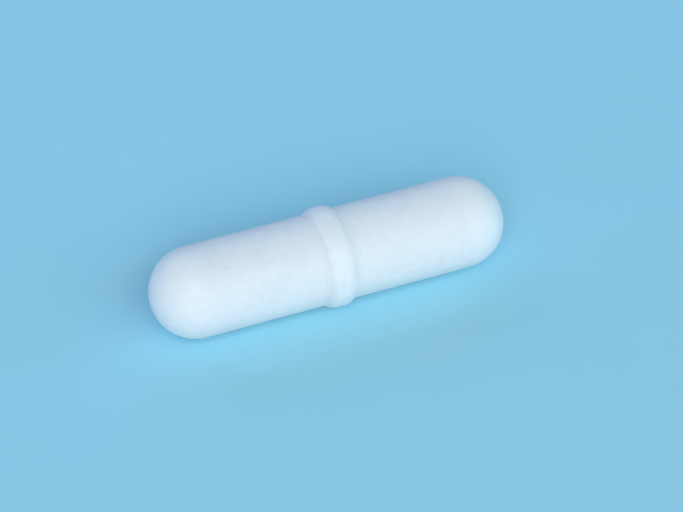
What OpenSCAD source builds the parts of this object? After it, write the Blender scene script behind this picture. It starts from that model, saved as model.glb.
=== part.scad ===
// Magnetic stir bar: a rod magnet sealed inside a one-piece white PTFE jacket.
// The jacket is a round bar with domed ends and a moulded pivot ring round its middle.
// The bar's axis lies along X. The origin is on that axis, in the middle of the ring.

/* [Bar] */
// Overall length over the tips of the two domed ends
bar_length = 25.4; // [24:0.1:40]
// Diameter of the cylindrical halves
body_d = 6.35; // [5.6:0.05:8]

/* [Pivot ring] */
// How far the ring's crown stands out from the cylindrical halves
ring_height = 0.33; // [0.2:0.01:0.6]
// Width of the narrow level band along the ring's crown
crown_width = 0.4; // [0.2:0.1:1.2]
// Radius that rounds the ring on either side of its crown
crown_edge_r = 1; // [0.5:0.1:1.5]
// Radius of the hollow blend from the ring down to the body
ring_blend_r = 0.4; // [0.3:0.05:0.8]

/* [Magnet] */
// Diameter of the magnet rod
magnet_d = 4.4; // [3:0.1:4.4]
// Length of the magnet rod
magnet_length = 20; // [12:0.5:20]
// Chamfer on the two rims of the magnet rod
magnet_chamfer = 0.25; // [0.1:0.05:0.5]

/* [Hidden] */
$fn = 96;

body_r = body_d / 2;
crown_r = body_r + ring_height;
// Each dome is a hemisphere, centred this far from the middle of the bar
dome_x = bar_length / 2 - body_r;

// The ring's flank is two arcs that share a tangent where they meet:
// the crown's rounded edge above, and the hollow blend down to the body.
edge_x = crown_width / 2;
arc_sum = crown_edge_r + ring_blend_r;
blend_x = edge_x + sqrt(arc_sum * arc_sum - pow(arc_sum - ring_height, 2));
// Steepest slope of the flank, where the two arcs meet
flank_angle = acos((arc_sum - ring_height) / arc_sum);
// Short straight steps that each arc is drawn with
arc_steps = 8;

// Points along an arc about a centre, from one angle to another
function arc(centre, r, from, to) =
    [for (i = [0:arc_steps]) let (a = from + (to - from) * i / arc_steps)
        centre + r * [cos(a), sin(a)]];

// One flank of the ring, from the edge of its level crown down to the body
flank = concat(
    arc([crown_r - crown_edge_r, edge_x], crown_edge_r, 0, flank_angle),
    arc([body_r + ring_blend_r, blend_x], ring_blend_r, flank_angle + 180, 180)
);

// The profiles below are half-sections: the distance from the bar's axis
// runs to the right, and the distance along the bar runs upwards.

// Half-section of the bar without its ring
module bar_profile() {
    intersection() {
        translate([0, -bar_length / 2]) square([body_r, bar_length]);
        union() {
            translate([0, -dome_x]) square([body_r, 2 * dome_x]);
            for (side = [-1, 1])
                translate([0, side * dome_x]) circle(r = body_r);
        }
    }
}

// Half-section of the pivot ring, rooted a little way into the body
module ring_profile() {
    root = body_r - 0.3;
    last = len(flank) - 1;
    polygon(concat(
        [[root, -blend_x]],
        [for (i = [last:-1:0]) [flank[i][0], -flank[i][1]]],
        flank,
        [[root, blend_x]]
    ));
}

// Half-section of the magnet rod, and of the closed pocket that holds it
module magnet_profile() {
    r = magnet_d / 2;
    h = magnet_length / 2;
    polygon([
        [0, -h],
        [r - magnet_chamfer, -h],
        [r, -h + magnet_chamfer],
        [r, h - magnet_chamfer],
        [r - magnet_chamfer, h],
        [0, h]
    ]);
}

// Turns a half-section about the bar's axis, along X
module turned() {
    rotate([0, 90, 0]) rotate_extrude() children();
}

// White jacket, moulded and sintered in one piece round the magnet
module ptfe_jacket() {
    color([0.93, 0.95, 0.96])
    difference() {
        turned() union() {
            bar_profile();
            ring_profile();
        }
        turned() magnet_profile();
    }
}

// Plain rod magnet, held on all sides by the jacket
module magnet_core() {
    color([0.42, 0.42, 0.44])
    turned() magnet_profile();
}

ptfe_jacket();
magnet_core();
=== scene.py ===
"""Magnetic stir bar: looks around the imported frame.

The jacket is a lathe mesh that follows the same profile as the CAD solid, with the small
unevenness of a sintered and turned part, and it stands for the CAD jacket. The magnet inside
it is the CAD node itself, with its own material.
"""

import math

import bpy
import numpy as np
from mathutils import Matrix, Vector, noise


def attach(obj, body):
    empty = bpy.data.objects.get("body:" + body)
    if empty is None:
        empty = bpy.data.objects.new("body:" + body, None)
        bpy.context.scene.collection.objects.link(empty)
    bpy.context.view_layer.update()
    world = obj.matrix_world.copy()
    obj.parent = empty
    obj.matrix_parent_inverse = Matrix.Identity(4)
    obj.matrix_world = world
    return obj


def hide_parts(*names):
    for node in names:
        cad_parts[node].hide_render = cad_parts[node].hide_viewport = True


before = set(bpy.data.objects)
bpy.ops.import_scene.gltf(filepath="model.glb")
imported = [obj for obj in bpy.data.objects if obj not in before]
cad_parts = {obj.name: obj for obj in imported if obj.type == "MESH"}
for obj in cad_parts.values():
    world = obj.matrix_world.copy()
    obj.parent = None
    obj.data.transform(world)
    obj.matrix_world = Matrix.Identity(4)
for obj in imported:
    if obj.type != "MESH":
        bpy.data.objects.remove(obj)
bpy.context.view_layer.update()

MM = 0.001

# The jacket's own dimensions, in millimetres, as in part.scad
BAR_LENGTH = 25.4
BODY_R = 3.175
RING_HEIGHT = 0.33
CROWN_WIDTH = 0.4
CROWN_EDGE_R = 1.0
RING_BLEND_R = 0.4
MAGNET_R = 2.2
MAGNET_LENGTH = 20.0
MAGNET_CHAMFER = 0.25
POCKET_GAP = 0.02          # keeps the jacket's inner face off the magnet's own faces
CROWN_R = BODY_R + RING_HEIGHT
FLOOR_Z = -CROWN_R

# ---------------------------------------------------------------- camera
AZIMUTH, ELEVATION = -21.8, 41.5
DISTANCE = 254.0
PX_PER_MM = 14.78
WIDTH = 683


def camera():
    a, e = math.radians(AZIMUTH), math.radians(ELEVATION)
    back = Vector((math.sin(a) * math.cos(e), -math.cos(a) * math.cos(e), math.sin(e)))
    right = Vector((math.cos(a), math.sin(a), 0.0))
    up = back.cross(right)
    data = bpy.data.cameras.new("camera")
    data.sensor_width = 36.0
    data.lens = PX_PER_MM * DISTANCE * data.sensor_width / WIDTH
    data.clip_start, data.clip_end = 0.005, 20.0
    cam = bpy.data.objects.new("camera", data)
    bpy.context.scene.collection.objects.link(cam)
    aim = right * (13.9 / PX_PER_MM) + up * (0.6 / PX_PER_MM)
    cam.location = (aim + back * DISTANCE) * MM
    cam.rotation_euler = back.to_track_quat("Z", "Y").to_euler()
    bpy.context.scene.camera = cam
    return back, right, up


BACK, RIGHT, UP = camera()


# ---------------------------------------------------------------- meshes
def outer_profile():
    """Points (x, r) of the jacket's outside, tip to tip, in millimetres."""
    dome_x = BAR_LENGTH / 2 - BODY_R
    pts = []
    for i in range(49):                                   # left dome
        t = math.radians(90.0 * i / 48)
        pts.append((-dome_x - BODY_R * math.cos(t), BODY_R * math.sin(t)))
    arc = CROWN_EDGE_R + RING_BLEND_R
    edge_x = CROWN_WIDTH / 2
    flank = math.acos((arc - RING_HEIGHT) / arc)
    blend_x = edge_x + arc * math.sin(flank)
    half = []                                             # crown edge down to the body, +X side
    for i in range(13):
        t = flank * i / 12
        half.append((edge_x + CROWN_EDGE_R * math.sin(t), CROWN_R - CROWN_EDGE_R + CROWN_EDGE_R * math.cos(t)))
    for i in range(1, 13):
        t = flank * (1 - i / 12)
        half.append((blend_x - RING_BLEND_R * math.sin(t), BODY_R + RING_BLEND_R - RING_BLEND_R * math.cos(t)))
    for i in range(1, 40):                                # left cylinder
        f = i / 40
        pts.append((-dome_x + (dome_x - blend_x) * f, BODY_R))
    ring = [(-x, r) for x, r in reversed(half)]
    for i in range(1, 6):
        ring.append((-edge_x + CROWN_WIDTH * i / 6, CROWN_R))
    pts += ring + half
    n = len(pts)
    left = pts[: 49 + 39]
    pts += [(-x, r) for x, r in reversed(left)]
    return pts


def lathe(name, pts, segments, wobble=None):
    """Closed mesh turned about X through the points, whose first and last lie on the axis."""
    verts, faces = [], []
    tip_a, tip_b = pts[0], pts[-1]
    verts.append((tip_a[0], 0.0, 0.0))
    rows = pts[1:-1]
    for x, r in rows:
        for k in range(segments):
            t = 2 * math.pi * k / segments
            verts.append((x, r * math.cos(t), r * math.sin(t)))
    verts.append((tip_b[0], 0.0, 0.0))
    last = len(verts) - 1
    for k in range(segments):
        k2 = (k + 1) % segments
        faces.append((0, 1 + k2, 1 + k))
        for j in range(len(rows) - 1):
            a, b = 1 + j * segments, 1 + (j + 1) * segments
            faces.append((a + k, a + k2, b + k2, b + k))
        e = 1 + (len(rows) - 1) * segments
        faces.append((e + k, e + k2, last))
    if wobble:
        verts = [wobble(Vector(v)) for v in verts]
    return verts, faces


def uneven(p):
    """Slow unevenness of a sintered and turned plastic part, a few hundredths of a millimetre."""
    radial = Vector((0.0, p.y, p.z))
    if abs(p.x) > BAR_LENGTH / 2 - BODY_R:
        n = (p - Vector((math.copysign(BAR_LENGTH / 2 - BODY_R, p.x), 0, 0))).normalized()
    else:
        n = radial.normalized()
    d = 0.014 * noise.noise(p * 0.32 + Vector((3.1, 7.7, 1.9)))
    d += 0.006 * noise.noise(p * 1.1 + Vector((9.2, 0.4, 5.3)))
    return p + n * (d - 0.008)


def build_jacket():
    outer, of = lathe("outer", outer_profile(), 224, uneven)
    g = POCKET_GAP
    r, h, c = MAGNET_R + g, MAGNET_LENGTH / 2 + g, MAGNET_CHAMFER
    inner_pts = [(-h, 0.0), (-h, r - c), (-h + c, r), (0.0, r), (h - c, r), (h, r - c), (h, 0.0)]
    inner, inf = lathe("inner", inner_pts, 96)
    n = len(outer)
    verts = [tuple(Vector(v) * MM) for v in outer + [Vector(v) for v in inner]]
    faces = of + [tuple(i + n for i in reversed(f)) for f in inf]
    me = bpy.data.meshes.new("ptfe_jacket_moulded")
    me.from_pydata(verts, [], faces)
    me.validate()
    for p in me.polygons:
        p.use_smooth = True
    ob = bpy.data.objects.new("ptfe_jacket_moulded", me)
    bpy.context.scene.collection.objects.link(ob)
    return ob, n


jacket, N_OUTER = build_jacket()
# the pocket's corners stay crisp
me = jacket.data
for p in me.polygons:
    if min(p.vertices) >= N_OUTER:
        p.use_smooth = False
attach(jacket, "root")
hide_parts("ptfe_jacket")


# ---------------------------------------------------------------- materials
def new_material(name):
    m = bpy.data.materials.new(name)
    m.use_nodes = True
    nt = m.node_tree
    nt.nodes.clear()
    out = nt.nodes.new("ShaderNodeOutputMaterial")
    bsdf = nt.nodes.new("ShaderNodeBsdfPrincipled")
    nt.links.new(bsdf.outputs[0], out.inputs["Surface"])
    return m, nt, bsdf


def ramp_node(nt, source, stops):
    """Colour ramp fed by source; stops are (position, colour)."""
    r = nt.nodes.new("ShaderNodeValToRGB")
    el = r.color_ramp.elements
    while len(el) < len(stops):
        el.new(0.5)
    for e, (pos, col) in zip(el, stops):
        e.position = pos
        e.color = tuple(col) + (1.0,)
    nt.links.new(source, r.inputs["Fac"])
    return r.outputs["Color"]


def map_node(nt, source, lo, hi, to_lo, to_hi, smooth=True):
    """source from lo..hi to to_lo..to_hi, held at both ends."""
    m = nt.nodes.new("ShaderNodeMapRange")
    if smooth:
        m.interpolation_type = "SMOOTHSTEP"
    m.inputs["From Min"].default_value = lo
    m.inputs["From Max"].default_value = hi
    m.inputs["To Min"].default_value = to_lo
    m.inputs["To Max"].default_value = to_hi
    nt.links.new(source, m.inputs["Value"])
    return m.outputs["Result"]


def math_node(nt, op, a, b=None):
    m = nt.nodes.new("ShaderNodeMath")
    m.operation = op
    for i, v in enumerate((a, b)):
        if v is None:
            continue
        if isinstance(v, (int, float)):
            m.inputs[i].default_value = v
        else:
            nt.links.new(v, m.inputs[i])
    return m.outputs[0]


def noise_node(nt, vector, scale, detail=4.0, rough=0.5):
    n = nt.nodes.new("ShaderNodeTexNoise")
    n.inputs["Scale"].default_value = scale
    n.inputs["Detail"].default_value = detail
    n.inputs["Roughness"].default_value = rough
    nt.links.new(vector, n.inputs["Vector"])
    return n.outputs["Fac"]


def stretched(nt, vector, scale):
    m = nt.nodes.new("ShaderNodeMapping")
    m.inputs["Scale"].default_value = scale
    nt.links.new(vector, m.inputs["Vector"])
    return m.outputs["Vector"]


def mix_colour(nt, fac, a, b):
    """Colour a turning into colour b by fac; either may be a socket or a plain colour."""
    m = nt.nodes.new("ShaderNodeMix")
    m.data_type = "RGBA"
    nt.links.new(fac, m.inputs[0])
    for i, v in ((6, a), (7, b)):
        if isinstance(v, tuple):
            m.inputs[i].default_value = v + (1.0,)
        else:
            nt.links.new(v, m.inputs[i])
    return m.outputs[2]


def ptfe_material():
    """Sintered PTFE: near-white, waxy, faintly clouded, rubbed where it touches glass."""
    m, nt, b = new_material("ptfe_sintered_white")
    N, L = nt.nodes.new, nt.links.new
    co = N("ShaderNodeTexCoord").outputs["Object"]
    sep = N("ShaderNodeSeparateXYZ")
    L(co, sep.inputs[0])
    x, y, z = sep.outputs
    rad = math_node(nt, "SQRT", math_node(nt, "ADD", math_node(nt, "MULTIPLY", y, y),
                                          math_node(nt, "MULTIPLY", z, z)))
    ax = math_node(nt, "ABSOLUTE", x)

    # where the bar rubs: the ring's crown, and the shoulders of the two domes
    crown = map_node(nt, rad, (BODY_R + 0.20) * MM, CROWN_R * MM, 0.0, 1.0)
    dome = (BAR_LENGTH / 2 - BODY_R)
    up = map_node(nt, ax, (dome - 0.2) * MM, (dome + 0.9) * MM, 0.0, 1.0)
    down = map_node(nt, ax, (dome + 1.3) * MM, (dome + 2.7) * MM, 1.0, 0.0)
    shoulder = math_node(nt, "MULTIPLY", up, down)
    patchy = map_node(nt, noise_node(nt, co, 520.0, 5.0, 0.6), 0.36, 0.66, 0.15, 1.0)
    rub = math_node(nt, "MULTIPLY", math_node(nt, "MAXIMUM", crown, math_node(nt, "MULTIPLY", shoulder, 0.55)), patchy)

    # painted shade: the hollow on either side of the ring is darkened a little towards grey
    near_ring = map_node(nt, ax, 1.0 * MM, 1.5 * MM, 1.0, 0.0)
    low = map_node(nt, rad, (BODY_R + 0.02) * MM, (BODY_R + 0.16) * MM, 1.0, 0.0)
    ring_hollow_painted_shade = math_node(nt, "MULTIPLY", near_ring, low)

    # slow clouding of the resin, a finer mottle in it, and the grain of the sintered powder
    cloud = noise_node(nt, co, 240.0, 3.0, 0.5)
    mottle = noise_node(nt, co, 1300.0, 4.0, 0.6)
    grain = noise_node(nt, co, 7000.0, 2.0, 0.5)
    tone = math_node(nt, "ADD", math_node(nt, "MULTIPLY", cloud, 0.46), math_node(nt, "MULTIPLY", mottle, 0.34))
    tone = math_node(nt, "ADD", tone, math_node(nt, "MULTIPLY", grain, 0.20))
    base = ramp_node(nt, tone, [(0.36, (0.862, 0.876, 0.885)), (0.50, (0.926, 0.937, 0.944)),
                                (0.62, (0.950, 0.957, 0.962))])
    base = mix_colour(nt, math_node(nt, "MULTIPLY", rub, 0.55), base, (0.862, 0.862, 0.852))
    # painted shade in the hollows beside the ring, mixed into the base colour
    base = mix_colour(nt, math_node(nt, "MULTIPLY", ring_hollow_painted_shade, 0.35), base, (0.845, 0.850, 0.855))

    # hair scratches, mostly along the bar, in a few scuffed places
    scuffed = map_node(nt, noise_node(nt, co, 300.0, 3.0, 0.5), 0.50, 0.64, 0.0, 1.0)
    along = noise_node(nt, stretched(nt, co, (190.0, 2300.0, 2300.0)), 1.0, 2.0, 0.5)
    across = noise_node(nt, stretched(nt, co, (1900.0, 900.0, 420.0)), 1.0, 2.0, 0.5)
    lines = []
    for field, level, width in ((along, 0.50, 0.014), (across, 0.54, 0.011)):
        off = math_node(nt, "ABSOLUTE", math_node(nt, "SUBTRACT", field, level))
        lines.append(map_node(nt, off, 0.0, width, 1.0, 0.0))
    hair = math_node(nt, "MULTIPLY", math_node(nt, "MAXIMUM", lines[0], lines[1]), scuffed)
    base = mix_colour(nt, math_node(nt, "MULTIPLY", hair, 0.45), base, (0.800, 0.805, 0.805))

    # a few tiny grains caught in the sintered surface
    v = N("ShaderNodeTexVoronoi")
    v.feature = "F1"
    v.inputs["Scale"].default_value = 620.0
    v.inputs["Randomness"].default_value = 1.0
    L(co, v.inputs["Vector"])
    grain_size = N("ShaderNodeSeparateColor")
    L(v.outputs["Color"], grain_size.inputs[0])
    chosen = map_node(nt, grain_size.outputs[0], 0.94, 0.98, 0.0, 1.0)
    dot = map_node(nt, v.outputs["Distance"], 0.03, 0.085, 1.0, 0.0)
    speck = math_node(nt, "MULTIPLY", chosen, dot)
    base = mix_colour(nt, math_node(nt, "MULTIPLY", speck, 0.75), base, (0.50, 0.47, 0.43))
    L(base, b.inputs["Base Color"])

    # roughness: satin, smoother where rubbed, with slow patches from handling
    r1 = map_node(nt, noise_node(nt, co, 330.0, 4.0, 0.6), 0.30, 0.70, 0.42, 0.56)
    r2 = math_node(nt, "SUBTRACT", r1, math_node(nt, "MULTIPLY", rub, 0.12))
    L(r2, b.inputs["Roughness"])

    # height: pores of the sintered grain, faint turning marks round the bar, slow swells
    pores = noise_node(nt, co, 9000.0, 3.0, 0.6)
    turn = noise_node(nt, stretched(nt, co, (11000.0, 420.0, 420.0)), 1.0, 2.0, 0.5)
    swell = noise_node(nt, co, 900.0, 2.0, 0.5)
    rings = noise_node(nt, stretched(nt, co, (24000.0, 260.0, 260.0)), 1.0, 3.0, 0.6)
    h = math_node(nt, "MULTIPLY", pores, 0.16)
    h = math_node(nt, "ADD", h, math_node(nt, "MULTIPLY", turn, 0.16))
    h = math_node(nt, "ADD", h, math_node(nt, "MULTIPLY", swell, 2.6))
    h = math_node(nt, "SUBTRACT", h, math_node(nt, "MULTIPLY", hair, 0.25))
    h = math_node(nt, "ADD", h, math_node(nt, "MULTIPLY", math_node(nt, "MULTIPLY", rings, crown), 0.4))
    h = math_node(nt, "SUBTRACT", h, math_node(nt, "MULTIPLY", speck, 0.5))
    bump = N("ShaderNodeBump")
    bump.inputs["Strength"].default_value = 0.6
    bump.inputs["Distance"].default_value = 0.000035
    L(h, bump.inputs["Height"])
    L(bump.outputs["Normal"], b.inputs["Normal"])

    b.inputs["IOR"].default_value = 1.36
    b.inputs["Subsurface Weight"].default_value = 1.0
    b.inputs["Subsurface Radius"].default_value = (1.0, 0.95, 0.9)
    b.inputs["Subsurface Scale"].default_value = 0.0013
    return m


def magnet_material():
    """Cast magnet alloy: round side ground, ends left as cut, both dull grey."""
    m, nt, b = new_material("magnet_alloy_ground")
    N, L = nt.nodes.new, nt.links.new
    co = N("ShaderNodeTexCoord").outputs["Object"]
    grind = noise_node(nt, stretched(nt, co, (16000.0, 500.0, 500.0)), 1.0, 3.0, 0.6)
    cast = noise_node(nt, co, 1400.0, 6.0, 0.6)
    tone = math_node(nt, "ADD", math_node(nt, "MULTIPLY", grind, 0.5), math_node(nt, "MULTIPLY", cast, 0.5))
    base = ramp_node(nt, tone, [(0.32, (0.20, 0.20, 0.205)), (0.52, (0.30, 0.30, 0.31)),
                                (0.70, (0.40, 0.40, 0.41))])
    sep = N("ShaderNodeSeparateXYZ")
    L(co, sep.inputs[0])
    ax = math_node(nt, "ABSOLUTE", sep.outputs[0])
    end = map_node(nt, ax, (MAGNET_LENGTH / 2 - MAGNET_CHAMFER) * MM, MAGNET_LENGTH / 2 * MM, 0.0, 1.0)
    base = mix_colour(nt, math_node(nt, "MULTIPLY", end, 0.5), base, (0.23, 0.225, 0.22))
    L(base, b.inputs["Base Color"])
    L(map_node(nt, cast, 0.3, 0.7, 0.34, 0.52), b.inputs["Roughness"])
    pits = noise_node(nt, co, 5200.0, 4.0, 0.65)
    h = math_node(nt, "ADD", math_node(nt, "MULTIPLY", grind, 0.7), math_node(nt, "MULTIPLY", pits, 0.6))
    bump = N("ShaderNodeBump")
    bump.inputs["Strength"].default_value = 0.5
    bump.inputs["Distance"].default_value = 0.000012
    L(h, bump.inputs["Height"])
    L(bump.outputs["Normal"], b.inputs["Normal"])
    b.inputs["Metallic"].default_value = 1.0
    return m


jacket.data.materials.append(ptfe_material())
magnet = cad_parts["magnet_core"]
magnet.data.materials.clear()
magnet.data.materials.append(magnet_material())


# ---------------------------------------------------------------- floor and light
def floor():
    s = 6.0
    me = bpy.data.meshes.new("floor")
    me.from_pydata([(-s, -s, 0), (s, -s, 0), (s, s, 0), (-s, s, 0)], [], [(0, 1, 2, 3)])
    ob = bpy.data.objects.new("floor", me)
    ob.location = (0, 0, FLOOR_Z * MM)
    bpy.context.scene.collection.objects.link(ob)
    m, nt, b = new_material("floor_pale")
    b.inputs["Base Color"].default_value = (0.39, 0.76, 0.895, 1)
    b.inputs["Roughness"].default_value = 0.8
    me.materials.append(m)
    return ob


floor()


def area(name, direction, distance, size, power, colour):
    d = bpy.data.lights.new(name, "AREA")
    d.shape = "DISK"
    d.size = size
    d.energy = power
    d.color = colour
    o = bpy.data.objects.new(name, d)
    o.location = direction.normalized() * distance
    o.rotation_euler = direction.normalized().to_track_quat("Z", "Y").to_euler()
    bpy.context.scene.collection.objects.link(o)
    return o


def toward(az, el):
    a, e = math.radians(az), math.radians(el)
    return Vector((math.sin(a) * math.cos(e), -math.cos(a) * math.cos(e), math.sin(e)))


# A broad soft key in front of the bar and a weak warm light below it, cool soft fills to
# its right and left, and two cool lights behind it, all large round discs.
area("key", toward(AZIMUTH, 38), 1.60, 1.20, 13.57, (0.93, 0.99, 1.0))
area("warm_low", toward(AZIMUTH, 6), 1.60, 0.28, 1.44, (1.0, 0.27, 0.22))
area("fill_right", toward(AZIMUTH + 45, 38), 1.60, 1.20, 7.26, (0.74, 0.93, 1.0))
area("fill_left", toward(AZIMUTH - 45, 14), 1.60, 0.68, 0.96, (0.50, 0.83, 1.0))
area("side_right", toward(AZIMUTH + 90, 14), 1.60, 0.68, 3.36, (0.29, 0.72, 1.0))
area("side_left", toward(AZIMUTH - 90, 14), 1.60, 0.68, 2.40, (0.27, 0.47, 1.0))
area("back", toward(AZIMUTH + 180, 30), 0.80, 0.60, 1.20, (0.33, 0.60, 1.0))
area("back_left", toward(AZIMUTH + 225, 30), 0.80, 0.60, 1.32, (0.48, 0.70, 1.0))

world = bpy.data.worlds.new("world")
bpy.context.scene.world = world
world.use_nodes = True
bg = world.node_tree.nodes["Background"]
bg.inputs["Color"].default_value = (0.67, 0.81, 1.0, 1)
bg.inputs["Strength"].default_value = 0.18

view = bpy.context.scene.view_settings
view.view_transform = "Standard"
